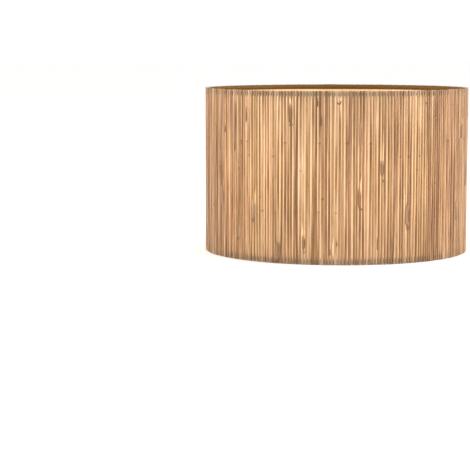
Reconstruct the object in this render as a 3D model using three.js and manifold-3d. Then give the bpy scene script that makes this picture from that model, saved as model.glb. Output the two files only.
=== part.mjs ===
// Drum lamp shade with a natural reed cover.
// Millimetres, +Z up. The origin is the centre of the bottom edge, on the surface the shade stands on.
// The open seam of the cover faces +Y, the back.

import * as THREE from 'three';
import { mergeVertices } from 'three/addons/utils/BufferGeometryUtils.js';
import Module from 'manifold-3d';

// Drum
const shadeDiameter = 404;          // over the reeds, on a liner of about 400
const shadeHeight = 250;
const reedThickness = 2.2;
const linerThickness = 0.5;
const seamWidth = 0.8;            // open joint where the two ends of a rolled sheet meet
const seamStripWidth = 14;
const seamStripThickness = 0.5;

// Hems: a tape wrapped round a wire ring, with a flat flange glued to the liner
const ringWireDiameter = 3.2;
const tapeThickness = 0.6;
const hemFlange = 2.6;            // what the flange shows beyond the wrapped ring
const hemSetback = 0.4;           // how far the tape stays inside the cut ends of the reeds
const tapeSlit = 0.9;             // opening left where the tape's wrapped edge meets its flange

// Spider that carries the shade on a lamp holder
const armCount = 3;
const armWireDiameter = 3.5;
const armFootLength = 12;         // level length at the bottom ring
const armReachLength = 16;        // level length at the fitter ring
const fitterBore = 42;
const fitterDiameter = 56;
const fitterThickness = 2;
const fitterRecess = 30;          // underside of the fitter ring above the bottom edge
const armNotchClearance = 0.6;    // room round an arm where it passes the hem tape

// Between pieces that touch
const gap = 0.3;

// Facets
const drumSegments = 72;
const fitterSegments = 48;
const wireSides = 8;
const armSteps = 18;

// Radii, worked from the outside inwards
const matOuterRadius = shadeDiameter / 2;
const matInnerRadius = matOuterRadius - reedThickness;
const linerOuterRadius = matInnerRadius - gap;
const linerInnerRadius = linerOuterRadius - linerThickness;
const tapeOuterRadius = linerInnerRadius - gap;
const ringWireRadius = ringWireDiameter / 2;
const ringRadius = tapeOuterRadius - tapeThickness - gap - ringWireRadius;
const tapeInnerRadius = ringRadius - ringWireRadius - gap - tapeThickness;

// Heights of one hem, measured inwards from the edge of the shade
const ringInset = hemSetback + tapeThickness + gap + ringWireRadius;
const wrapHeight = ringInset + ringWireRadius + gap + tapeThickness;
const hemHeight = wrapHeight + hemFlange;

const reedMaterial = new THREE.MeshStandardMaterial({ color: 0xc9a077, roughness: 0.7, metalness: 0 });
const linerMaterial = new THREE.MeshStandardMaterial({ color: 0xf6e4c4, roughness: 0.6, metalness: 0 });
const tapeMaterial = new THREE.MeshStandardMaterial({ color: 0x7d5a32, roughness: 0.9, metalness: 0 });
const wireMaterial = new THREE.MeshStandardMaterial({ color: 0x9a9a98, roughness: 0.35, metalness: 1 });
const paintMaterial = new THREE.MeshStandardMaterial({ color: 0x1f1e1d, roughness: 0.45, metalness: 0 });

const wasm = await Module();
wasm.setup();

function toSolid(geometry) {
  const bare = geometry.clone();
  bare.deleteAttribute('normal');
  bare.deleteAttribute('uv');
  const merged = mergeVertices(bare, 1e-4);
  return new wasm.Manifold(new wasm.Mesh({
    numProp: 3,
    vertProperties: new Float32Array(merged.attributes.position.array),
    triVerts: new Uint32Array(merged.index.array),
  }));
}

function toGeometry(solid) {
  const mesh = solid.getMesh();
  const geometry = new THREE.BufferGeometry();
  geometry.setAttribute('position', new THREE.BufferAttribute(mesh.vertProperties, mesh.numProp));
  geometry.setIndex(new THREE.BufferAttribute(mesh.triVerts, 1));
  geometry.computeVertexNormals();
  return geometry;
}

function cutAway(geometry, cutters) {
  const solid = cutters.reduce((left, cutter) => left.subtract(toSolid(cutter)), toSolid(geometry));
  return toGeometry(solid);
}

// A level circular band between two radii, standing on z = 0.
function band(innerRadius, outerRadius, height, segments) {
  const outline = new THREE.Shape().absarc(0, 0, outerRadius, 0, 2 * Math.PI, false);
  outline.holes.push(new THREE.Path().absarc(0, 0, innerRadius, 0, 2 * Math.PI, true));
  return new THREE.ExtrudeGeometry(outline, {
    depth: height,
    bevelEnabled: false,
    curveSegments: segments / 2,
  });
}

// A closed profile of [radius, height] points turned about Z. The points run anticlockwise.
function turned(profile, segments) {
  const points = [...profile, profile[0]].map(([radius, height]) => new THREE.Vector2(radius, height));
  return new THREE.LatheGeometry(points, segments).rotateX(Math.PI / 2).rotateZ(Math.PI / 2);
}

function circleProfile(centreRadius, wireRadius, sides) {
  return Array.from({ length: sides }, (_, side) => {
    const angle = (side + 0.5) * 2 * Math.PI / sides;
    return [centreRadius + wireRadius * Math.cos(angle), wireRadius * Math.sin(angle)];
  });
}

// A sheet rolled into a drum: a band with an open joint at the back.
function rolledSheet(innerRadius, outerRadius, height) {
  const depth = 4 * (outerRadius - innerRadius) + 4 * gap;
  const joint = new THREE.BoxGeometry(seamWidth, depth, 2 * height + 2);
  joint.translate(0, (innerRadius + outerRadius) / 2, 0);
  return cutAway(band(innerRadius, outerRadius, height, drumSegments), [joint]);
}

function seamStrip() {
  const outer = linerInnerRadius - gap;
  const inner = outer - seamStripThickness;
  const halfAngle = seamStripWidth / 2 / outer;
  const outline = new THREE.Shape();
  outline.absarc(0, 0, outer, Math.PI / 2 - halfAngle, Math.PI / 2 + halfAngle, false);
  outline.absarc(0, 0, inner, Math.PI / 2 + halfAngle, Math.PI / 2 - halfAngle, true);
  outline.closePath();
  return new THREE.ExtrudeGeometry(outline, {
    depth: shadeHeight - 2 * (hemHeight + gap),
    bevelEnabled: false,
    curveSegments: 2,
  });
}

// The tape seen in section at the bottom edge, from the flange's top: back over the slit, round
// the ring's space from the lip to the floor, and out under the ring to the flange again.
function hemTape() {
  const flangeInner = tapeOuterRadius - tapeThickness;
  const wallOuter = tapeInnerRadius + tapeThickness;
  const floorTop = hemSetback + tapeThickness;
  const lipUnder = wrapHeight - tapeThickness;
  const lipEnd = flangeInner - tapeSlit;
  return turned([
    [tapeOuterRadius, hemHeight],
    [flangeInner, hemHeight],
    [flangeInner, floorTop],
    [wallOuter, floorTop],
    [wallOuter, lipUnder],
    [lipEnd, lipUnder],
    [lipEnd, wrapHeight],
    [tapeInnerRadius, wrapHeight],
    [tapeInnerRadius, hemSetback],
    [tapeOuterRadius, hemSetback],
  ], drumSegments);
}

// Angles of the arms, one of them pointing to the back.
const armAngles = Array.from({ length: armCount }, (_, arm) => Math.PI / 2 + arm * 2 * Math.PI / armCount);

const armOuterEnd = ringRadius - ringWireRadius - gap;
const armInnerEnd = fitterDiameter / 2 + gap;
const fitterMiddle = fitterRecess + fitterThickness / 2;

// One arm along +X: level at the ring, a slope, and level again at the fitter ring.
function spiderArm() {
  const bendRun = (armOuterEnd - armInnerEnd - armFootLength - armReachLength) / 8;
  const footEnd = armOuterEnd - armFootLength;
  const reachEnd = armInnerEnd + armReachLength;
  const rise = (fitterMiddle - ringInset) / (footEnd - reachEnd);
  const path = new THREE.CatmullRomCurve3([
    new THREE.Vector3(armOuterEnd, 0, ringInset),
    new THREE.Vector3(armOuterEnd - armFootLength / 2, 0, ringInset),
    new THREE.Vector3(footEnd, 0, ringInset),
    new THREE.Vector3(footEnd - 2 * bendRun, 0, ringInset + 2 * bendRun * rise),
    new THREE.Vector3(reachEnd + 2 * bendRun, 0, fitterMiddle - 2 * bendRun * rise),
    new THREE.Vector3(reachEnd, 0, fitterMiddle),
    new THREE.Vector3(armInnerEnd + armReachLength / 2, 0, fitterMiddle),
    new THREE.Vector3(armInnerEnd, 0, fitterMiddle),
  ], false, 'centripetal');
  const section = new THREE.Shape().absarc(0, 0, armWireDiameter / 2, 0, 2 * Math.PI, false);
  return new THREE.ExtrudeGeometry(section, {
    extrudePath: path,
    steps: armSteps,
    curveSegments: wireSides / 2,
  });
}

// Slots in the wrapped side of the bottom tape, open upwards, where the arms reach the ring.
function armNotches() {
  const outer = ringRadius - ringWireRadius;
  const inner = tapeInnerRadius - tapeThickness - gap;
  const width = armWireDiameter + 2 * armNotchClearance;
  const bottom = ringInset - width / 2;
  const height = hemHeight - bottom;
  return armAngles.map((angle) => {
    const notch = new THREE.BoxGeometry(outer - inner, width, height);
    notch.translate((outer + inner) / 2, 0, bottom + height / 2);
    return notch.rotateZ(angle);
  });
}

function addMesh(parent, name, geometry, material) {
  const mesh = new THREE.Mesh(geometry, material);
  mesh.name = name;
  parent.add(mesh);
  return mesh;
}

const lampShade = new THREE.Group();

addMesh(lampShade, 'reed_mat', rolledSheet(matInnerRadius, matOuterRadius, shadeHeight), reedMaterial);

// The liner is a little shorter than the reeds, by the setback at each edge.
const liner = addMesh(
  lampShade,
  'liner',
  rolledSheet(linerInnerRadius, linerOuterRadius, shadeHeight - 2 * hemSetback),
  linerMaterial,
);
liner.position.z = hemSetback;

const strip = addMesh(lampShade, 'seam_strip', seamStrip(), linerMaterial);
strip.position.z = hemHeight + gap;

const ringGeometry = turned(circleProfile(ringRadius, ringWireRadius, wireSides), drumSegments);
const bottomRing = addMesh(lampShade, 'bottom_ring', ringGeometry, wireMaterial);
bottomRing.position.z = ringInset;
const topRing = addMesh(lampShade, 'top_ring', ringGeometry.clone(), wireMaterial);
topRing.position.z = shadeHeight - ringInset;

addMesh(lampShade, 'bottom_hem_tape', cutAway(hemTape(), armNotches()), tapeMaterial);
const topTape = addMesh(lampShade, 'top_hem_tape', hemTape(), tapeMaterial);
topTape.rotation.x = Math.PI;
topTape.position.z = shadeHeight;

const spider = new THREE.Group();
lampShade.add(spider);
armAngles.forEach((angle, arm) => {
  const mesh = addMesh(spider, `spider_arm_${arm + 1}`, spiderArm(), paintMaterial);
  mesh.rotation.z = angle;
});
const fitter = addMesh(
  spider,
  'fitter_ring',
  band(fitterBore / 2, fitterDiameter / 2, fitterThickness, fitterSegments),
  paintMaterial,
);
fitter.position.z = fitterRecess;

export default lampShade;
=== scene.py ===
import math
import random

import bmesh
import bpy
from mathutils import Matrix, Vector


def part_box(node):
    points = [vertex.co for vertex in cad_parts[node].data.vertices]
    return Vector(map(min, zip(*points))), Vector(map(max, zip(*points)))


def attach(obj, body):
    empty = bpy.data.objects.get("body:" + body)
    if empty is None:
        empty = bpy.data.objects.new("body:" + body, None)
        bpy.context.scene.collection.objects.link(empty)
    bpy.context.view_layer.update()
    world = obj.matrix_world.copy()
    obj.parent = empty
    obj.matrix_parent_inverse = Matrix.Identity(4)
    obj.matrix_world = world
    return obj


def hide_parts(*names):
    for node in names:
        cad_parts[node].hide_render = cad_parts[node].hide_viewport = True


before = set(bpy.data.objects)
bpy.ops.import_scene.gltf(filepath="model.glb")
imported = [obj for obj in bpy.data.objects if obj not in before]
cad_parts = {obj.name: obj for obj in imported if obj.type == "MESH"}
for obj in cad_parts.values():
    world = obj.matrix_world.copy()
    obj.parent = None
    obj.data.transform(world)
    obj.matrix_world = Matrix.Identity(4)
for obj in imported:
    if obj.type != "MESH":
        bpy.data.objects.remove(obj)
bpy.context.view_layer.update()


# ---- Camera ----------------------------------------------------------------------------------
# It stands about two and a half metres in front of the drum and a hand's width above its top
# edge, with a long lens, and looks down a little and slightly past the drum's left side.

drum_low, drum_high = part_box("reed_mat")
drum_height = drum_high.z - drum_low.z
camera_distance = 2.592
camera_over_drum = 0.066
camera_dip_degrees = 6.51
camera_turn_degrees = 3.455

camera_data = bpy.data.cameras.new("camera")
camera_data.sensor_width = 36
camera_data.lens = 128.1
camera_data.clip_end = 100
camera = bpy.data.objects.new("camera", camera_data)
camera.location = (0, -camera_distance, drum_height + camera_over_drum)
camera.rotation_euler = (
    math.radians(90 - camera_dip_degrees),
    0,
    math.radians(camera_turn_degrees),
)
bpy.context.collection.objects.link(camera)
bpy.context.scene.camera = camera
bpy.context.scene.view_settings.view_transform = "Standard"


# ---- Studio ----------------------------------------------------------------------------------
# A white room with a plain pale floor under the shade, lit evenly from all round. A broad soft
# light stands on either side of the drum, and a weak one hangs in front of it.

room_brightness = 1.07
floor_size = 60
floor_drop = 0.0004

room = bpy.data.worlds.new("studio")
room.use_nodes = True
room.node_tree.nodes["Background"].inputs["Color"].default_value = (1, 1, 1, 1)
room.node_tree.nodes["Background"].inputs["Strength"].default_value = room_brightness
bpy.context.scene.world = room


def new_material(name):
    """An empty node material: the material, a function that adds a node, and its links."""
    material = bpy.data.materials.new(name)
    material.use_nodes = True
    tree = material.node_tree
    tree.nodes.clear()

    def add(kind, **settings):
        node = tree.nodes.new(kind)
        for setting, value in settings.items():
            setattr(node, setting, value)
        return node

    return material, add, tree.links.new


bpy.ops.object.select_all(action="DESELECT")
bpy.ops.mesh.primitive_plane_add(size=floor_size, location=(0, 0, -floor_drop))
floor = bpy.context.object
floor.name = "floor"
floor_paint, add, link = new_material("floor_paint")
shader = add("ShaderNodeBsdfDiffuse")
shader.inputs["Color"].default_value = (0.93, 0.93, 0.925, 1)
output = add("ShaderNodeOutputMaterial")
link(shader.outputs[0], output.inputs["Surface"])
floor.data.materials.append(floor_paint)

# Each light has its name, its place, its width in metres and its power in watts.
for light_name, light_place, light_size, light_power in (
    ("overhead", (-1.0, -1.8, 3.0), 3.0, 8),
    ("left_side", (-2.6, -0.2, 0.9), 1.6, 50),
    ("right_side", (2.6, -0.2, 0.9), 1.6, 74),
):
    soft_light_data = bpy.data.lights.new(light_name, "AREA")
    soft_light_data.shape = "DISK"
    soft_light_data.size = light_size
    soft_light_data.energy = light_power
    soft_light = bpy.data.objects.new(light_name, soft_light_data)
    soft_light.location = light_place
    to_drum = Vector((0, 0, drum_height / 2)) - soft_light.location
    soft_light.rotation_euler = to_drum.to_track_quat("-Z", "Y").to_euler()
    bpy.context.collection.objects.link(soft_light)


# ---- Lamp ------------------------------------------------------------------------------------
# The light of a warm frosted bulb in the middle of the drum. The bulb and its holder belong to
# the lamp, so only their light is here.

bulb_power = 1.38
bulb_radius = 0.05
bulb_height = 0.53 * drum_height

bulb_data = bpy.data.lights.new("bulb_light", "POINT")
bulb_data.energy = bulb_power
bulb_data.color = (1.0, 0.63, 0.29)
bulb_data.shadow_soft_size = bulb_radius
bulb = bpy.data.objects.new("bulb_light", bulb_data)
bulb.location = (0, 0, bulb_height)
bulb.visible_camera = False
bpy.context.collection.objects.link(bulb)


# ---- Liner -----------------------------------------------------------------------------------
# A sheet of thin cream cloth laminated to a translucent film, rolled into a drum with its two
# ends butted at the back. The reeds are glued to its outside, and it spreads the lamp's light.

liner_low, liner_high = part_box("liner")
liner_radius = liner_high.x
liner_thickness = 0.0005
seam_width = 0.0008
seam_surround = 0.02
drum_steps = 192


def edit_faces(test):
    """Goes to face editing on the active object with only the faces whose middle passes test."""
    bpy.ops.object.mode_set(mode="EDIT")
    bpy.ops.mesh.select_mode(type="FACE")
    bpy.ops.mesh.select_all(action="DESELECT")
    shape = bmesh.from_edit_mesh(bpy.context.object.data)
    for face in shape.faces:
        face.select_set(test(face.calc_center_median()))
    bmesh.update_edit_mesh(bpy.context.object.data)


def edit_all():
    """Goes to edit mode on the active object with every point, edge and face selected."""
    bpy.ops.object.mode_set(mode="EDIT")
    bpy.ops.mesh.select_mode(type="VERT")
    bpy.ops.mesh.select_all(action="SELECT")


def cut_across(test, point, normal, **clear):
    """Cuts the faces that pass test with a plane, and clears one side of it if asked."""
    edit_faces(test)
    bpy.ops.mesh.bisect(plane_co=point, plane_no=normal, use_fill=False, **clear)


def finish_mesh(name, material, smooth_angle=40):
    """Names the active object, closes its edit, puts its place in its mesh and smooths it."""
    piece = bpy.context.object
    if piece.mode == "EDIT":
        bpy.ops.object.mode_set(mode="OBJECT")
    piece.name = name
    piece.data.name = name
    bpy.ops.object.transform_apply(location=True, rotation=True, scale=True)
    bpy.ops.object.shade_smooth_by_angle(angle=math.radians(smooth_angle))
    piece.data.materials.clear()
    piece.data.materials.append(material)
    return piece


def apply_modifier(kind, **settings):
    """Adds a modifier to the active object with these settings and applies it."""
    modifier = bpy.context.object.modifiers.new(kind.lower(), kind)
    for setting, value in settings.items():
        setattr(modifier, setting, value)
    bpy.ops.object.modifier_apply(modifier=modifier.name)


def start(primitive, **settings):
    """Adds a primitive by itself, with nothing else selected, and puts its place in its mesh."""
    bpy.ops.object.select_all(action="DESELECT")
    primitive(**settings)
    bpy.ops.object.transform_apply(location=True, rotation=True, scale=True)
    return bpy.context.object


def slubs(add, link, along, across):
    """Two crossed sets of uneven threads on the drum, from 0 to 1, with threads this fine."""
    place = add("ShaderNodeTexCoord")
    parts = add("ShaderNodeSeparateXYZ")
    link(place.outputs["Object"], parts.inputs[0])
    angle = add("ShaderNodeMath", operation="ARCTAN2")
    link(parts.outputs["X"], angle.inputs[0])
    link(parts.outputs["Y"], angle.inputs[1])
    round_drum = add("ShaderNodeMath", operation="MULTIPLY")
    link(angle.outputs[0], round_drum.inputs[0])
    round_drum.inputs[1].default_value = liner_radius
    threads = []
    for scale_round, scale_up in ((along, across), (across, along)):
        spot = add("ShaderNodeCombineXYZ")
        for source, socket, scale in (
            (round_drum.outputs[0], "X", scale_round),
            (parts.outputs["Z"], "Y", scale_up),
        ):
            scaled = add("ShaderNodeMath", operation="MULTIPLY")
            link(source, scaled.inputs[0])
            scaled.inputs[1].default_value = scale
            link(scaled.outputs[0], spot.inputs[socket])
        noise = add("ShaderNodeTexNoise")
        noise.inputs["Scale"].default_value = 1.0
        noise.inputs["Detail"].default_value = 2.0
        link(spot.outputs[0], noise.inputs["Vector"])
        threads.append(noise.outputs["Fac"])
    both = add("ShaderNodeMath", operation="MULTIPLY")
    link(threads[0], both.inputs[0])
    link(threads[1], both.inputs[1])
    spread = add("ShaderNodeMapRange")
    spread.inputs["From Min"].default_value = 0.12
    spread.inputs["From Max"].default_value = 0.42
    link(both.outputs[0], spread.inputs["Value"])
    return spread.outputs["Result"]


def ramp(add, link, source, stops):
    """A colour ramp over source with (position, (red, green, blue)) stops."""
    node = add("ShaderNodeValToRGB")
    elements = node.color_ramp.elements
    while len(elements) < len(stops):
        elements.new(0.5)
    for element, (position, colour) in zip(elements, stops):
        element.position = position
        element.color = (*colour, 1)
    link(source, node.inputs["Fac"])
    return node.outputs["Color"]


def bump(add, link, height, strength, distance):
    """A bump from a height that runs from 0 to 1, this many metres deep."""
    node = add("ShaderNodeBump")
    node.inputs["Strength"].default_value = strength
    node.inputs["Distance"].default_value = distance
    link(height, node.inputs["Height"])
    return node.outputs["Normal"]


liner_cloth, add, link = new_material("liner_cloth")
threads = slubs(add, link, 30, 900)
cloth_colour = ramp(add, link, threads, [(0.0, (0.81, 0.73, 0.58)), (1.0, (0.91, 0.85, 0.72))])
cloth_bump = bump(add, link, threads, 0.4, 0.0002)
front = add("ShaderNodeBsdfPrincipled")
front.inputs["Roughness"].default_value = 0.75
front.inputs["Specular IOR Level"].default_value = 0.25
link(cloth_colour, front.inputs["Base Color"])
link(cloth_bump, front.inputs["Normal"])
through = add("ShaderNodeBsdfTranslucent")
link(cloth_colour, through.inputs["Color"])
link(cloth_bump, through.inputs["Normal"])
cloth_mix = add("ShaderNodeMixShader")
cloth_mix.inputs["Fac"].default_value = 0.56
link(front.outputs[0], cloth_mix.inputs[1])
link(through.outputs[0], cloth_mix.inputs[2])
lamp_rays = add("ShaderNodeLightPath")
passed = add("ShaderNodeBsdfTransparent")
passed.inputs["Color"].default_value = (0.62, 0.56, 0.46, 1)
cloth_surface = add("ShaderNodeMixShader")
link(lamp_rays.outputs["Is Shadow Ray"], cloth_surface.inputs["Fac"])
link(cloth_mix.outputs[0], cloth_surface.inputs[1])
link(passed.outputs[0], cloth_surface.inputs[2])
output = add("ShaderNodeOutputMaterial")
link(cloth_surface.outputs[0], output.inputs["Surface"])

start(
    bpy.ops.mesh.primitive_cylinder_add,
    vertices=drum_steps,
    radius=liner_radius,
    depth=liner_high.z - liner_low.z,
    end_fill_type="NOTHING",
    location=(0, 0, (liner_low.z + liner_high.z) / 2),
)
for side in (-1, 1):
    cut_across(
        lambda middle: middle.y > 0 and abs(middle.x) < seam_surround,
        (side * seam_width / 2, 0, 0),
        (1, 0, 0),
    )
edit_faces(lambda middle: middle.y > 0 and abs(middle.x) < seam_width / 2)
bpy.ops.mesh.delete(type="FACE")
bpy.ops.object.mode_set(mode="OBJECT")
apply_modifier("SOLIDIFY", thickness=liner_thickness, offset=-1)
liner = finish_mesh("liner_sheet", liner_cloth)
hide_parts("liner")
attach(liner, "root")


# ---- Seam strip ------------------------------------------------------------------------------
# A strip of the same cloth-faced film, glued behind the butted ends of the liner to join them.
# It stops short of the two hems.

strip_low, strip_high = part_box("seam_strip")
strip_half_width = strip_high.x
strip_radius = strip_high.y
strip_thickness = 0.00045

start(
    bpy.ops.mesh.primitive_cylinder_add,
    vertices=4 * drum_steps,
    radius=strip_radius,
    depth=strip_high.z - strip_low.z,
    end_fill_type="NOTHING",
    location=(0, 0, (strip_low.z + strip_high.z) / 2),
)
cut_across(lambda middle: True, (0, strip_radius / 2, 0), (0, 1, 0), clear_inner=True)
cut_across(lambda middle: True, (strip_half_width, 0, 0), (1, 0, 0), clear_outer=True)
cut_across(lambda middle: True, (-strip_half_width, 0, 0), (1, 0, 0), clear_inner=True)
bpy.ops.object.mode_set(mode="OBJECT")
apply_modifier("SOLIDIFY", thickness=strip_thickness, offset=-1)
strip = finish_mesh("seam_tape", liner_cloth)
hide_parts("seam_strip")
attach(strip, "root")


# ---- Wire rings ------------------------------------------------------------------------------
# Two rings of drawn steel wire, butt-welded at the back, that hold the drum round at its top and
# bottom edges. The tape hides them but for a glimpse where the spider's arms are welded on.

wire_radius = 0.0016
ring_steps = 240
ring_sides = 12
ring_weld_half_length = 0.004
ring_weld_bulge = 0.0002


def ring_place(node):
    """The radius of a ring's wire centre and its height."""
    low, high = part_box(node)
    half = (high.z - low.z) / 2
    return high.x - half, low.z + half


ring_steel, add, link = new_material("ring_steel")
place = add("ShaderNodeTexCoord")
scratches = add("ShaderNodeTexNoise")
scratches.inputs["Scale"].default_value = 900
scratches.inputs["Detail"].default_value = 4
link(place.outputs["Object"], scratches.inputs["Vector"])
steel = add("ShaderNodeBsdfPrincipled")
steel.inputs["Metallic"].default_value = 1.0
steel_greys = [(0.35, (0.36, 0.35, 0.34)), (0.7, (0.62, 0.61, 0.60))]
link(ramp(add, link, scratches.outputs["Fac"], steel_greys), steel.inputs["Base Color"])
rough = add("ShaderNodeMapRange")
rough.inputs["To Min"].default_value = 0.28
rough.inputs["To Max"].default_value = 0.5
link(scratches.outputs["Fac"], rough.inputs["Value"])
link(rough.outputs["Result"], steel.inputs["Roughness"])
link(bump(add, link, scratches.outputs["Fac"], 0.2, 0.0001), steel.inputs["Normal"])
output = add("ShaderNodeOutputMaterial")
link(steel.outputs[0], output.inputs["Surface"])

for ring_node, ring_name in (("top_ring", "top_wire"), ("bottom_ring", "bottom_wire")):
    ring_radius, ring_height = ring_place(ring_node)
    start(
        bpy.ops.mesh.primitive_torus_add,
        major_radius=ring_radius,
        minor_radius=wire_radius,
        major_segments=ring_steps,
        minor_segments=ring_sides,
        location=(0, 0, ring_height),
    )
    edit_faces(lambda middle: middle.y > 0 and abs(middle.x) < ring_weld_half_length)
    bpy.ops.transform.shrink_fatten(value=ring_weld_bulge)
    ring = finish_mesh(ring_name, ring_steel)
    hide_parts(ring_node)
    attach(ring, "root")


# ---- Spider ----------------------------------------------------------------------------------
# Three bent wires run from the bottom ring up to a pressed fitter ring, which sits on the lamp
# holder. They are welded at both ends and powder-coated black in one go, to match the lamp's pole.

arm_low, arm_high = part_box("spider_arm_1")
fitter_low, fitter_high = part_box("fitter_ring")
arm_radius = (arm_high.x - arm_low.x) / 2
arm_outer_end = arm_high.y
arm_inner_end = arm_low.y
arm_foot_height = arm_low.z + arm_radius
arm_reach_height = arm_high.z - arm_radius
arm_foot_length = 0.012
arm_reach_length = 0.016
fitter_radius = fitter_high.x
fitter_bore_radius = 0.021
fitter_sheet = 0.0011
arm_turns = [90, 210, 330]
arm_sides = 12
weld_reach = 0.0004
bend_radius = 0.03
bend_steps = 4

fitter_paint, add, link = new_material("fitter_paint")
place = add("ShaderNodeTexCoord")
orange_peel = add("ShaderNodeTexNoise")
orange_peel.inputs["Scale"].default_value = 1400
orange_peel.inputs["Detail"].default_value = 2
link(place.outputs["Object"], orange_peel.inputs["Vector"])
dust = add("ShaderNodeTexNoise")
dust.inputs["Scale"].default_value = 60
dust.inputs["Detail"].default_value = 5
link(place.outputs["Object"], dust.inputs["Vector"])
coat = add("ShaderNodeBsdfPrincipled")
coat_blacks = [(0.3, (0.018, 0.018, 0.018)), (0.65, (0.032, 0.031, 0.030))]
link(ramp(add, link, dust.outputs["Fac"], coat_blacks), coat.inputs["Base Color"])
rough = add("ShaderNodeMapRange")
rough.inputs["To Min"].default_value = 0.3
rough.inputs["To Max"].default_value = 0.55
link(dust.outputs["Fac"], rough.inputs["Value"])
link(rough.outputs["Result"], coat.inputs["Roughness"])
link(bump(add, link, orange_peel.outputs["Fac"], 0.25, 0.0001), coat.inputs["Normal"])
output = add("ShaderNodeOutputMaterial")
link(coat.outputs[0], output.inputs["Surface"])

# The wire is drawn along +X from the ring inwards: level, bent up, straight, and level again.
slope = math.atan2(
    arm_reach_height - arm_foot_height,
    arm_outer_end - arm_inner_end - arm_foot_length - arm_reach_length,
)
bend_run = bend_radius * math.tan(slope / 2)
foot_end = arm_outer_end - arm_foot_length
reach_end = arm_inner_end + arm_reach_length
straight = (arm_reach_height - arm_foot_height) / math.sin(slope) - 2 * bend_run

start(
    bpy.ops.mesh.primitive_circle_add,
    vertices=arm_sides,
    radius=arm_radius,
    fill_type="NGON",
    location=(arm_outer_end + weld_reach, 0, arm_foot_height),
    rotation=(0, math.radians(-90), 0),
)


def join_pieces(parts, name):
    """Joins these objects into one piece."""
    bpy.ops.object.select_all(action="DESELECT")
    for part in parts:
        part.select_set(True)
    bpy.context.view_layer.objects.active = parts[0]
    bpy.ops.object.join()
    joined = bpy.context.object
    joined.name = name
    joined.data.name = name
    return joined


def draw_out(length, angle):
    """Draws the wire's selected end on by a length, at an angle above level, inwards."""
    bpy.ops.mesh.extrude_region_move(
        TRANSFORM_OT_translate={"value": (-length * math.cos(angle), 0, length * math.sin(angle))}
    )


edit_all()
draw_out(arm_foot_length - bend_run + weld_reach, 0)
bpy.ops.mesh.spin(
    steps=bend_steps,
    angle=slope,
    center=(foot_end + bend_run, 0, arm_foot_height + bend_radius),
    axis=(0, -1, 0),
)
draw_out(straight, slope)
bpy.ops.mesh.spin(
    steps=bend_steps,
    angle=slope,
    center=(reach_end - bend_run, 0, arm_reach_height - bend_radius),
    axis=(0, 1, 0),
)
draw_out(arm_reach_length - bend_run + weld_reach, 0)
bpy.ops.mesh.select_all(action="SELECT")
bpy.ops.mesh.remove_doubles(threshold=1e-6)
bpy.ops.mesh.normals_make_consistent(inside=False)
bpy.ops.object.mode_set(mode="OBJECT")
arm_parts = [finish_mesh("arm_wire", fitter_paint)]

# The weld bead at each end is a lumpy squashed ball, given by its place and its half sizes.
for bead_place, bead_size in (
    ((arm_outer_end + 0.0001, 0, arm_foot_height), (0.0011, 0.0024, 0.0020)),
    ((arm_inner_end - 0.0001, 0, arm_reach_height - 0.0002), (0.0012, 0.0026, 0.0015)),
):
    start(
        bpy.ops.mesh.primitive_uv_sphere_add,
        segments=14,
        ring_count=8,
        radius=1,
        location=(0, 0, 0),
    )
    edit_all()
    bpy.ops.transform.vertex_random(offset=0.12, uniform=0.6, seed=len(arm_parts))
    bpy.ops.transform.resize(value=bead_size, center_override=(0, 0, 0))
    bpy.ops.transform.translate(value=bead_place)
    arm_parts.append(finish_mesh("weld_bead", fitter_paint, 60))
arm_wire = join_pieces(arm_parts, "arm_wire")

for number, turn in enumerate(arm_turns, 1):
    arm = arm_wire.copy()
    arm.data = arm_wire.data.copy()
    arm.name = f"arm_wire_{number}"
    arm.data.name = arm.name
    bpy.context.collection.objects.link(arm)
    arm.data.transform(Matrix.Rotation(math.radians(turn), 4, "Z"))
    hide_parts(f"spider_arm_{number}")
    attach(arm, "root")
bpy.data.objects.remove(arm_wire)

# The ring is pressed from sheet: a flat flange outside, and a collar turned up round the bore.
start(
    bpy.ops.mesh.primitive_circle_add,
    vertices=96,
    radius=fitter_radius,
    fill_type="NOTHING",
    location=(0, 0, fitter_low.z),
)
edit_all()
edge_radius = fitter_radius
for beyond_bore, step_up in ((0.0022, 0.0), (0.0014, 0.0002), (0.0011, 0.0008)):
    next_radius = fitter_bore_radius + beyond_bore
    bpy.ops.mesh.extrude_region_move(TRANSFORM_OT_translate={"value": (0, 0, step_up)})
    bpy.ops.transform.resize(
        value=(next_radius / edge_radius, next_radius / edge_radius, 1),
        center_override=(0, 0, fitter_low.z),
    )
    edge_radius = next_radius
bpy.ops.mesh.select_all(action="SELECT")
bpy.ops.mesh.normals_make_consistent(inside=False)
shape = bmesh.from_edit_mesh(bpy.context.object.data)
if sum(face.normal.z for face in shape.faces) < 0:
    bpy.ops.mesh.flip_normals()
bpy.ops.object.mode_set(mode="OBJECT")
apply_modifier("SOLIDIFY", thickness=fitter_sheet, offset=1, use_even_offset=True)
apply_modifier(
    "BEVEL",
    width=0.0003,
    segments=3,
    limit_method="ANGLE",
    angle_limit=math.radians(50),
)
fitter = finish_mesh("fitter", fitter_paint)
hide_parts("fitter_ring")
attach(fitter, "root")


# ---- Hem tapes -------------------------------------------------------------------------------
# A brown woven tape is wrapped round each wire ring and glued to the inside of the liner. It is
# opaque, so it shades the reeds outside it. The bottom one is slit where the arms pass.

tape_thickness = 0.00045
tape_fold_radius = wire_radius + 0.00055
tape_return = 0.0012
tape_steps = 288
tape_offset = 0.0002
pucker_length = 0.008
pucker_height = 0.0003
lap_length = 0.02
lap_middle = -0.012
lap_clearance = 0.0006
slit_half_width = arm_radius + 0.0006
slit_surround = 0.012
slit_inner_side = 0.18
slit_outer_gap = 0.0009
same_place = 1e-6

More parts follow.
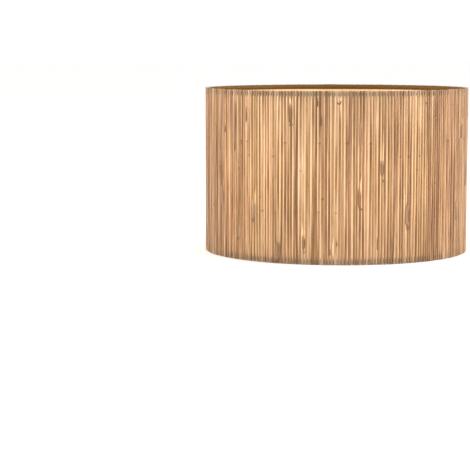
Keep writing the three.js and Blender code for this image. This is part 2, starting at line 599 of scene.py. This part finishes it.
hem_tape, add, link = new_material("hem_tape")
ribs = slubs(add, link, 400, 1500)
tape = add("ShaderNodeBsdfPrincipled")
tape.inputs["Roughness"].default_value = 0.92
tape.inputs["Specular IOR Level"].default_value = 0.08
tape_browns = [(0.0, (0.080, 0.046, 0.017)), (1.0, (0.146, 0.088, 0.036))]
link(ramp(add, link, ribs, tape_browns), tape.inputs["Base Color"])
link(bump(add, link, ribs, 0.6, 0.0003), tape.inputs["Normal"])
output = add("ShaderNodeOutputMaterial")
link(tape.outputs[0], output.inputs["Surface"])

puckers = bpy.data.textures.new("puckers", "CLOUDS")
puckers.noise_scale = pucker_length

for hem_node, ring_node, ring_name, hem_name, inwards in (
    ("top_hem_tape", "top_ring", "top_wire", "top_hem", -1),
    ("bottom_hem_tape", "bottom_ring", "bottom_wire", "bottom_hem", 1),
):
    hem_low, hem_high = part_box(hem_node)
    ring_radius, ring_height = ring_place(ring_node)
    flange_edge = hem_high.z if inwards > 0 else hem_low.z
    flange_radius = hem_high.x - tape_thickness / 2
    fold_over = ring_height + inwards * tape_fold_radius

    # The fold in section is three quarters of a ring of points round the wire, open towards
    # the flange.
    start(
        bpy.ops.mesh.primitive_circle_add,
        vertices=16,
        radius=tape_fold_radius,
        location=(ring_radius, 0, ring_height),
        rotation=(math.radians(90), 0, 0),
    )
    bpy.ops.object.mode_set(mode="EDIT")
    bpy.ops.mesh.select_mode(type="VERT")
    section = bmesh.from_edit_mesh(bpy.context.object.data)
    for point in section.verts:
        outside_wire = point.co.x > ring_radius + same_place
        towards_flange = inwards * (point.co.z - ring_height) > same_place
        point.select_set(outside_wire and towards_flange)
    bmesh.update_edit_mesh(bpy.context.object.data)
    bpy.ops.mesh.delete(type="VERT")

    # One end goes out to the liner and turns back a little; the other goes out and along it.
    section = bmesh.from_edit_mesh(bpy.context.object.data)
    outer = max(section.verts, key=lambda point: point.co.x).co.copy()
    over = max(section.verts, key=lambda point: inwards * point.co.z).co.copy()
    for tape_end, moves in (
        (outer, [(flange_radius - outer.x, 0), (0, inwards * tape_return)]),
        (
            over,
            [(flange_radius - over.x - tape_offset, 0), (tape_offset, flange_edge - fold_over)],
        ),
    ):
        bpy.ops.mesh.select_all(action="DESELECT")
        section = bmesh.from_edit_mesh(bpy.context.object.data)
        nearest = min(section.verts, key=lambda point: (point.co - tape_end).length)
        nearest.select_set(True)
        bmesh.update_edit_mesh(bpy.context.object.data)
        for across, up in moves:
            bpy.ops.mesh.extrude_vertices_move(TRANSFORM_OT_translate={"value": (across, 0, up)})
    edit_all()
    bpy.ops.mesh.spin(steps=tape_steps, angle=2 * math.pi, center=(0, 0, 0), axis=(0, 0, 1))
    bpy.ops.mesh.select_all(action="SELECT")
    bpy.ops.mesh.remove_doubles(threshold=same_place)
    bpy.ops.mesh.normals_make_consistent(inside=False)

    # The cloth's good side faces away from the wire.
    shape = bmesh.from_edit_mesh(bpy.context.object.data)
    innermost = min(shape.faces, key=lambda face: face.calc_center_median().xy.length)
    if innermost.normal.xy.dot(innermost.calc_center_median().xy) > 0:
        bpy.ops.mesh.flip_normals()

    # At the back the tape's end laps over its start.
    def is_lap(middle):
        """Whether a face is in the lap, away from the part that is glued to the liner."""
        at_back = middle.y > 0 and abs(middle.x - lap_middle) < lap_length / 2
        off_liner = middle.xy.length < flange_radius - lap_clearance
        return at_back and (off_liner or inwards * (middle.z - fold_over) > 0)

    edit_faces(is_lap)
    bpy.ops.mesh.duplicate()
    bpy.ops.transform.shrink_fatten(value=tape_thickness)

    # The bottom tape is slit for each arm, and its edges part round the wire.
    if inwards > 0:
        for turn in arm_turns:
            along = Vector((math.cos(math.radians(turn)), math.sin(math.radians(turn)), 0))
            across = Vector((-along.y, along.x, 0))
            for side in (-1, 1):
                cut_across(
                    lambda middle: abs(middle.dot(across)) < slit_surround
                    and middle.dot(along) > slit_inner_side,
                    across * side * slit_half_width,
                    across,
                )
            edit_faces(
                lambda middle: abs(middle.dot(across)) < slit_half_width
                and slit_inner_side < middle.dot(along) < ring_radius - slit_outer_gap
            )
            bpy.ops.mesh.delete(type="FACE")
    bpy.ops.object.mode_set(mode="OBJECT")
    apply_modifier(
        "DISPLACE",
        texture=puckers,
        texture_coords="LOCAL",
        strength=pucker_height,
        mid_level=0.5,
    )
    apply_modifier("SOLIDIFY", thickness=tape_thickness, offset=0)
    hem = finish_mesh(hem_name, hem_tape, 60)
    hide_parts(hem_node)
    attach(hem, "root")


# ---- Reeds -----------------------------------------------------------------------------------
# Some 270 dried reed stems, thin, slightly flattened and slightly bowed, glued upright side by
# side on the liner. Light shows through the gaps between them and, weakly, through the stems.

reed_low, reed_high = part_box("reed_mat")
glue_gap = 0.00005
reed_back = liner_radius + glue_gap
reed_height = reed_high.z - reed_low.z
reed_sides = 8
reed_count = 270
panel_count = 27
pattern_count = 12
flank_depth = 0.45
same_height = 1e-5

reed, add, link = new_material("reed")
place = add("ShaderNodeTexCoord")
stem = add("ShaderNodeAttribute", attribute_name="stem")
stem_parts = add("ShaderNodeSeparateXYZ")
link(stem.outputs["Vector"], stem_parts.inputs[0])
node_mark = add("ShaderNodeAttribute", attribute_name="node_mark")
thin_mark = add("ShaderNodeAttribute", attribute_name="thin_mark")


def maths(add, link, operation, first, second):
    """One sum on two values, each a socket or a number."""
    node = add("ShaderNodeMath", operation=operation)
    for socket, value in ((node.inputs[0], first), (node.inputs[1], second)):
        if isinstance(value, (int, float)):
            socket.default_value = value
        else:
            link(value, socket)
    return node.outputs[0]


def grain(add, link, across, along, detail, seed):
    """A noise from 0 to 1 that is this fine across and along an upright stem."""
    stretched = add("ShaderNodeMapping")
    stretched.inputs["Scale"].default_value = (across, across, along)
    link(place.outputs["Object"], stretched.inputs["Vector"])
    noise = add("ShaderNodeTexNoise", noise_dimensions="4D")
    noise.inputs["Scale"].default_value = 1.0
    noise.inputs["Detail"].default_value = detail
    noise.inputs["Roughness"].default_value = 0.6
    link(stretched.outputs["Vector"], noise.inputs["Vector"])
    link(maths(add, link, "MULTIPLY", seed, 37.0), noise.inputs["W"])
    return noise.outputs["Fac"]


tone, blush, seed = (stem_parts.outputs[axis] for axis in "XYZ")

# The shade runs from 0, dark, to 1, pale. Three layers of grain swing it about the stem's own tone.
fibres = grain(add, link, 3600, 24, 3, seed)
streaks = grain(add, link, 1100, 10, 2, seed)
weather = grain(add, link, 70, 9, 3, seed)
shade = tone
for layer, share in ((fibres, 0.75), (streaks, 0.8), (weather, 1.9)):
    swing = maths(add, link, "MULTIPLY", maths(add, link, "SUBTRACT", layer, 0.5), share)
    shade = maths(add, link, "ADD", shade, swing)

# Small dark flecks, and the dark ring at a node, are taken off it.
flecks = add("ShaderNodeMapRange")
flecks.inputs["From Min"].default_value = 0.64
flecks.inputs["From Max"].default_value = 0.72
flecks.inputs["To Max"].default_value = 0.3
link(grain(add, link, 1700, 210, 1, seed), flecks.inputs["Value"])
shade = maths(add, link, "SUBTRACT", shade, flecks.outputs["Result"])
node_shade = maths(add, link, "MULTIPLY", node_mark.outputs["Fac"], 0.4)
shade = maths(add, link, "SUBTRACT", shade, node_shade)

# Stems run from straw to pinkish brown, by their blush.
straw = ramp(
    add,
    link,
    shade,
    [
        (0.00, (0.18, 0.090, 0.030)),
        (0.22, (0.29, 0.159, 0.062)),
        (0.45, (0.41, 0.254, 0.126)),
        (0.70, (0.55, 0.385, 0.232)),
        (1.00, (0.77, 0.620, 0.450)),
    ],
)
pink = ramp(
    add,
    link,
    shade,
    [
        (0.00, (0.21, 0.088, 0.042)),
        (0.45, (0.43, 0.236, 0.134)),
        (1.00, (0.70, 0.495, 0.355)),
    ],
)
reed_colour = add("ShaderNodeMix", data_type="RGBA")
link(blush, reed_colour.inputs["Factor"])
link(straw, reed_colour.inputs[6])
link(pink, reed_colour.inputs[7])
ridges = maths(add, link, "ADD", maths(add, link, "MULTIPLY", fibres, 0.4), streaks)
reed_bump = bump(add, link, ridges, 0.8, 0.0004)
skin = add("ShaderNodeBsdfPrincipled")
skin.inputs["Specular IOR Level"].default_value = 0.5
skin.inputs["Sheen Weight"].default_value = 0.16
skin.inputs["Sheen Roughness"].default_value = 0.35
link(reed_colour.outputs[2], skin.inputs["Base Color"])
link(reed_bump, skin.inputs["Normal"])
rough = add("ShaderNodeMapRange")
rough.inputs["To Min"].default_value = 0.42
rough.inputs["To Max"].default_value = 0.72
link(fibres, rough.inputs["Value"])
link(rough.outputs["Result"], skin.inputs["Roughness"])
glow = add("ShaderNodeBsdfTranslucent")
glow_colour = ramp(
    add,
    link,
    shade,
    [
        (0.0, (0.58, 0.37, 0.20)),
        (0.5, (0.82, 0.64, 0.45)),
        (1.0, (0.95, 0.86, 0.72)),
    ],
)
link(glow_colour, glow.inputs["Color"])
link(reed_bump, glow.inputs["Normal"])
glow_share = add("ShaderNodeMapRange")
glow_share.inputs["From Min"].default_value = 0.1
glow_share.inputs["From Max"].default_value = 0.9
glow_share.inputs["To Min"].default_value = 0.50
glow_share.inputs["To Max"].default_value = 0.72
link(shade, glow_share.inputs["Value"])
thin_share = add("ShaderNodeMapRange")
thin_share.inputs["To Min"].default_value = 0.32
thin_share.inputs["To Max"].default_value = 0.94
link(thin_mark.outputs["Fac"], thin_share.inputs["Value"])
reed_surface = add("ShaderNodeMixShader")
link(
    maths(add, link, "MULTIPLY", glow_share.outputs["Result"], thin_share.outputs["Result"]),
    reed_surface.inputs["Fac"],
)
link(skin.outputs[0], reed_surface.inputs[1])
link(glow.outputs[0], reed_surface.inputs[2])
output = add("ShaderNodeOutputMaterial")
link(reed_surface.outputs[0], output.inputs["Surface"])


def draw_stem(name, sides, stations, flank=1.0):
    """A stem drawn up from the origin through stations, each with its height, its middle's
    place across and out, its width and depth, and how much of a node it is. Flank is how thin
    its sides are, for the light that they let through."""
    height, across, outwards, width, depth, _ = stations[0]
    start(
        bpy.ops.mesh.primitive_circle_add,
        vertices=sides,
        radius=0.5,
        fill_type="NGON",
        location=(0, 0, 0),
    )
    edit_all()
    bpy.ops.transform.resize(value=(width, depth, 1), center_override=(0, 0, 0))
    bpy.ops.transform.translate(value=(across, outwards, height))
    for before, after in zip(stations, stations[1:]):
        bpy.ops.mesh.extrude_region_move(
            TRANSFORM_OT_translate={
                "value": (after[1] - before[1], after[2] - before[2], after[0] - before[0])
            }
        )
        bpy.ops.transform.resize(
            value=(after[3] / before[3], after[4] / before[4], 1),
            center_override=(after[1], after[2], after[0]),
        )
    bpy.ops.mesh.select_all(action="SELECT")
    bpy.ops.mesh.normals_make_consistent(inside=False)
    drawn = finish_mesh(name, reed, 50)
    mark = drawn.data.attributes.new("node_mark", "FLOAT", "POINT")
    for point, value in zip(drawn.data.vertices, mark.data):
        value.value = sum(
            node for height, *_, node in stations if abs(point.co.z - height) < same_height
        )
    mark = drawn.data.attributes.new("thin_mark", "FLOAT", "POINT")
    for point, value in zip(drawn.data.vertices, mark.data):
        value.value = flank * max(0.0, min(1.0, 1 + point.co.y / flank_depth)) ** 2
    return drawn


def glue_on(pattern, angle, radius, foot, size, look, flip=False):
    """A copy of a stem or sheath at an angle round the drum from its front, with its back at a
    radius and its foot at a height. Size is width, depth and height; look is tone, blush, seed."""
    copy = pattern.copy()
    copy.data = pattern.data.copy()
    bpy.context.collection.objects.link(copy)
    width, depth, height = size
    shape = Matrix.Diagonal((width, depth, height, 1))
    if flip:
        shape = Matrix.Translation((0, 0, height)) @ Matrix.Rotation(math.pi, 4, "Y") @ shape
    copy.data.transform(
        Matrix.Rotation(angle, 4, "Z") @ Matrix.Translation((0, -radius - depth / 2, foot)) @ shape
    )
    stem_look = copy.data.attributes.new("stem", "FLOAT_VECTOR", "POINT")
    for value in stem_look.data:
        value.vector = look
    return copy


# The patterns are one unit wide, deep and high, so a copy is scaled to its own size.
chance = random.Random(11)
stem_patterns = []
heights = [0.0, 0.14, 0.3, 0.46, 0.62, 0.8, 1.0]
for number in range(pattern_count):
    bow = chance.uniform(-0.18, 0.18)
    wave = chance.uniform(-0.11, 0.11)
    lean = chance.uniform(-0.32, 0.32)
    turn = chance.uniform(0, 6)
    taper = chance.uniform(-0.15, 0.15) if number % 4 else chance.choice((-0.35, 0.35))
    stations = []
    for height in heights:
        sway = bow * math.sin(math.pi * height) + wave * math.sin(5 * height + turn)
        sway += lean * (height - 0.5)
        width = 1 + taper * (height - 0.5) + chance.uniform(-0.07, 0.07)
        stations.append((height, sway, 0.0, width, chance.uniform(0.85, 1.0), 0.0))
    if number % 3 == 0:
        knot = chance.uniform(0.2, 0.75)
        near = max(range(1, 6), key=lambda index: -abs(heights[index] - knot))
        height, sway, _, width, depth, _ = stations[near]
        stations[near : near + 1] = [
            (height - 0.008, sway, 0.0, width, depth, 0.0),
            (height, sway, 0.0, width * 1.14, depth * 1.1, 1.0),
            (height + 0.006, sway, 0.0, width * 0.98, depth, 0.2),
        ]
    stem_patterns.append(draw_stem(f"stem_pattern_{number}", reed_sides, stations))


def around(middle, spread, low, high):
    """A chance value near a middle, kept between low and high."""
    return min(high, max(low, chance.gauss(middle, spread)))


# The stems go round from one side of the back seam to the other. Each has its width, the gap
# beside it, and its look. Their tones are dealt out so that light and dark ones are well mixed,
# and a few are chosen by their place.
tones = [0.15, 0.20, 0.24, 0.27, 0.31, 0.35, 0.40, 0.50]
stems = []
hand = []
for number in range(reed_count):
    if not hand:
        hand = chance.sample(tones, len(tones))
    tone = hand.pop() + chance.uniform(-0.06, 0.06)
    blush = around(0.1, 0.35, 0.0, 1.0)
    width = around(3.45, 0.38, 2.6, 4.7)
    between = around(1.25, 0.22, 0.6, 2.0)
    stems.append(
        {
            "width": width / 1000,
            "gap": between / 1000,
            "depth": chance.uniform(0.0018, 0.0024),
            "look": (tone, blush, chance.random()),
            "pattern": chance.randrange(len(stem_patterns)),
            "flip": chance.random() < 0.5,
            "short": (chance.uniform(0, 0.0003), chance.uniform(0, 0.0003)),
        }
    )


def stem_angles():
    """The angle of each stem's middle, with the widths and gaps spread to fill the drum."""
    total = sum(stem["width"] + stem["gap"] for stem in stems)
    run = 2 * math.pi - seam_width / liner_radius
    angle = -run / 2
    angles = []
    for stem in stems:
        share = run * (stem["width"] + stem["gap"]) / total
        angles.append(angle + share / 2)
        angle += share
    return angles


def nearest_stem(angles, degrees):
    """The number of the stem nearest to these degrees round from the front."""
    return min(range(reed_count), key=lambda index: abs(angles[index] - math.radians(degrees)))


# Each chosen stem has its degrees round from the front, its width in millimetres, its tone and
# its blush.
for degrees, width, tone, blush in (
    (-47.4, 5.4, 0.32, 0.9),
    (-38.0, 3.8, 0.50, 0.2),
    (-20.4, 4.2, 0.18, 0.8),
    (-13.9, 3.4, 0.50, 0.0),
    (-12.4, 3.5, 0.64, 0.0),
    (-10.8, 3.3, 0.56, 0.0),
    (1.8, 3.4, 0.22, 0.2),
    (6.2, 5.0, 0.32, 1.0),
    (11.8, 3.6, 0.22, 0.5),
    (17.4, 3.6, 0.52, 0.1),
    (24.5, 4.0, 0.22, 0.8),
    (34.0, 3.8, 0.52, 0.0),
    (45.5, 4.0, 0.22, 0.4),
    (53.0, 3.8, 0.60, 0.1),
):
    nearest = nearest_stem(stem_angles(), degrees)
    stems[nearest]["width"] = width / 1000
    stems[nearest]["look"] = (tone, blush, chance.random())

# Above a leaf scar a stem is often pinched, and leaves a wedge of light beside it. Each wedge has
# its degrees round from the front, and the millimetres of its wide foot and its pointed top.
angles = stem_angles()
wedges = [
    (-18.9, 229, 243),
    (1.3, 235, 243),
    (10.3, 206, 226),
    (19.2, 150, 192),
    (10.2, 40, 74),
    (10.2, 112, 128),
    (-13.6, 43, 64),
    (30.8, 86, 113),
    (62.9, 86, 113),
    (-36.6, 93, 106),
    (-57.2, 109, 130),
    (-1.5, 24, 40),
]
for degrees, foot, top in wedges:
    nearest = nearest_stem(angles, degrees)
    low, high = foot / 1000 / reed_height, top / 1000 / reed_height
    aside = chance.choice((-0.22, 0.22))
    stations = [
        (0.0, 0.0, 0.0, 1.0, 1.0, 0.0),
        (max(0.02, low - 0.12), 0.0, 0.0, 1.0, 1.0, 0.0),
        (low - 0.02, aside, 0.0, 0.46, 0.9, 0.0),
        (low + 0.02, aside, 0.0, 0.42, 0.9, 0.0),
        (high, 0.0, 0.0, 0.98, 1.0, 0.0),
        (1.0, 0.0, 0.0, 1.0, 1.0, 0.0),
    ]
    stem_patterns.append(draw_stem("pinched_pattern", reed_sides, stations))
    stems[nearest]["pattern"] = len(stem_patterns) - 1
    stems[nearest]["flip"] = False

per_panel = reed_count // panel_count
for panel_number in range(panel_count):
    chosen = range(panel_number * per_panel, (panel_number + 1) * per_panel)
    parts = []
    for index in chosen:
        stem = stems[index]
        low_end, high_end = stem["short"]
        parts.append(
            glue_on(
                stem_patterns[stem["pattern"]],
                angles[index],
                reed_back,
                low_end,
                (stem["width"], stem["depth"], reed_height - low_end - high_end),
                stem["look"],
                stem["flip"],
            )
        )
    panel = join_pieces(parts, f"reeds_{panel_number + 1:02d}")
    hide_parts("reed_mat")
    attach(panel, "root")
for pattern in stem_patterns:
    bpy.data.objects.remove(pattern)


# ---- Leaf scars ------------------------------------------------------------------------------
# Where a leaf grew, a stem keeps a scrap of dark dried sheath, a bare streak or a curled knot. They
# bridge the gaps beside them and shut out the light. Those round the back are scattered.

sheath_rise = 0.0014
sheath_back = reed_back + sheath_rise
sheath_depth = 0.001
front_edge = 76
back_span = 360 - 2 * front_edge
scattered_count = 44
group_span = 60
strip_sides = 6
strip_flank = 0.45
curl_radius = 0.13
curl_place = (-0.37, 0, 0.6)
curl_centre = (0, 0, 0.6)


def draw_bundle(name, strips):
    """A scrap of sheath: strips side by side, each with its middle, width, foot, top and how
    dark it is."""
    parts = []
    for middle, width, foot, top, dark in strips:
        tall = top - foot
        stations = [
            (foot, middle * 0.7, 0.06, 0.5 * width, 0.5, 0.9),
            (foot + 0.07 * tall, middle * 0.8, 0.0, 0.95 * width, 0.9, 0.7),
            (foot + 0.2 * tall, middle * 0.95, 0.0, width, 0.9, dark),
            (foot + 0.6 * tall, middle * 1.04, 0.0, 1.06 * width, 0.95, dark),
            (foot + 0.88 * tall, middle * 1.02, 0.0, 0.85 * width, 0.8, 0.6 * dark),
            (top, middle * 1.08, 0.05, 0.25 * width, 0.4, 0.2),
        ]
        parts.append(draw_stem("strip", strip_sides, stations, flank=strip_flank))
    return join_pieces(parts, name)


sheath_patterns = {
    "sheath": draw_bundle(
        "sheath_pattern",
        [
            (-0.36, 0.22, 0.10, 0.90, 0.7),
            (-0.12, 0.30, 0.0, 1.0, 0.0),
            (0.14, 0.24, 0.05, 0.93, 0.4),
            (0.36, 0.22, 0.16, 0.76, 0.8),
        ],
    ),
    "block": draw_bundle(
        "block_pattern",
        [
            (-0.37, 0.24, 0.0, 0.90, 0.4),
            (-0.12, 0.30, 0.06, 1.0, 0.0),
            (0.13, 0.26, 0.02, 0.93, 0.5),
            (0.37, 0.24, 0.11, 0.98, 0.0),
        ],
    ),
    "streak": draw_bundle(
        "streak_pattern",
        [
            (-0.14, 0.66, 0.0, 1.0, 0.3),
            (0.22, 0.5, 0.06, 0.62, 0.0),
        ],
    ),
}

# A knot's curl is a half ring, open at its top.
start(
    bpy.ops.mesh.primitive_circle_add,
    vertices=strip_sides,
    radius=curl_radius,
    fill_type="NGON",
    location=curl_place,
)
edit_all()
bpy.ops.mesh.spin(steps=8, angle=math.radians(200), center=curl_centre, axis=(0, 1, 0))
bpy.ops.mesh.select_all(action="SELECT")
bpy.ops.mesh.remove_doubles(threshold=same_height)
bpy.ops.mesh.normals_make_consistent(inside=False)
curl = finish_mesh("curl_pattern", reed, 60)
curl_mark = curl.data.attributes.new("node_mark", "FLOAT", "POINT")
for point, value in zip(curl.data.vertices, curl_mark.data):
    value.value = max(0.0, min(1.0, 1.1 - point.co.z))
sheath_patterns["curl"] = curl

# Each has its kind, its degrees round from the front, the millimetres of its foot and its top,
# its width in millimetres, its tone and its blush. Streaks and curls are darkest.
scars = [
    ("streak", -40.5, 203, 226, 2.4, 0.14, 0.3),
    ("streak", -54.7, 186, 199, 3.4, 0.18, 0.2),
    ("streak", -58.5, 160, 176, 3.8, 0.16, 0.3),
    ("streak", -43.3, 170, 177, 2.5, 0.19, 0.2),
    ("streak", -44.5, 30, 65, 3.3, 0.24, 0.3),
    ("streak", -7.6, 227, 241, 2.3, 0.09, 0.4),
    ("streak", -6.1, 200, 216, 2.0, 0.06, 0.8),
    ("streak", 0.6, 27, 36, 2.3, 0.09, 0.6),
    ("streak", 46.1, 114, 123, 2.4, 0.16, 0.3),
    ("streak", -2.3, 13, 29, 3.6, 0.32, 0.9),
    ("streak", 17.6, 21, 40, 1.7, 0.09, 0.2),
    ("sheath", -18.9, 202, 232, 6.1, 0.36, 0.3),
    ("sheath", 10.0, 164, 209, 4.6, 0.48, 1.0),
    ("sheath", 19.4, 126, 153, 6.2, 0.42, 0.9),
    ("sheath", 9.8, 80, 114, 5.2, 0.44, 1.0),
    ("sheath", 31.0, 53, 87, 8.6, 0.40, 1.0),
    ("sheath", 63.2, 55, 87, 7.7, 0.38, 0.5),
    ("sheath", -57.0, 76, 110, 7.6, 0.42, 1.0),
    ("sheath", -36.5, 58, 94, 7.5, 0.40, 0.6),
    ("sheath", -13.2, 19, 44, 4.6, 0.44, 0.8),
    ("block", -24.7, 0.8, 32, 9.6, 0.44, 1.0),
    ("block", -47.4, 159, 238, 6.6, 0.38, 0.9),
    ("block", 68.5, 176, 197, 8.0, 0.34, 1.0),
    ("curl", 1.2, 229, 238, 6.4, 0.12, 0.3),
    ("curl", 45.6, 207, 217, 6.0, 0.12, 0.3),
    ("curl", -6.9, 74, 79, 3.6, 0.06, 0.4),
    ("curl", 40.2, 228, 238, 4.5, 0.04, 0.2),
    ("curl", 31.3, 46, 56, 5.6, 0.08, 0.4),
    ("curl", -18.7, 197, 205, 5.6, 0.00, 0.3),
    ("curl", -45.7, 29, 35, 4.2, 0.06, 0.4),
    ("curl", -13.3, 14, 21, 4.4, 0.10, 0.3),
    ("curl", 11.0, 78, 85, 4.4, 0.08, 0.4),
    ("curl", 19.8, 118, 128, 5.2, 0.04, 0.4),
]

# Round the back one is scattered in each equal share of the way. A size is drawn for every kind.
for number in range(scattered_count):
    foot = chance.uniform(6, 210)
    kind = chance.choice(["streak", "streak", "sheath", "sheath", "curl"])
    tall, width = {
        "streak": (chance.uniform(9, 30), chance.uniform(2.0, 3.6)),
        "sheath": (chance.uniform(24, 42), chance.uniform(4.5, 8.5)),
        "block": (chance.uniform(20, 34), chance.uniform(6.0, 9.5)),
        "curl": (chance.uniform(6, 10), chance.uniform(3.4, 5.8)),
    }[kind]
    top = min(foot + tall, 244)
    degrees = front_edge + (number + chance.uniform(0.1, 0.9)) * back_span / scattered_count
    tone = chance.uniform(0.15, 0.5)
    scars.append((kind, degrees, foot, top, width, tone, chance.random()))

sheath_groups = {}
for kind, degrees, foot, top, width, tone, blush in scars:
    scar = glue_on(
        sheath_patterns[kind],
        math.radians(degrees),
        sheath_back,
        foot / 1000,
        (width / 1000, sheath_depth, (top - foot) / 1000),
        (tone + 0.02, 0.2 + 0.45 * blush, chance.random()),
    )
    group = int((degrees + front_edge) // group_span)
    sheath_groups.setdefault(group, []).append(scar)
for group, parts in sorted(sheath_groups.items()):
    sheaths = join_pieces(parts, f"leaf_scars_{group + 1}")
    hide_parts("reed_mat")
    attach(sheaths, "root")
for pattern in sheath_patterns.values():
    bpy.data.objects.remove(pattern)
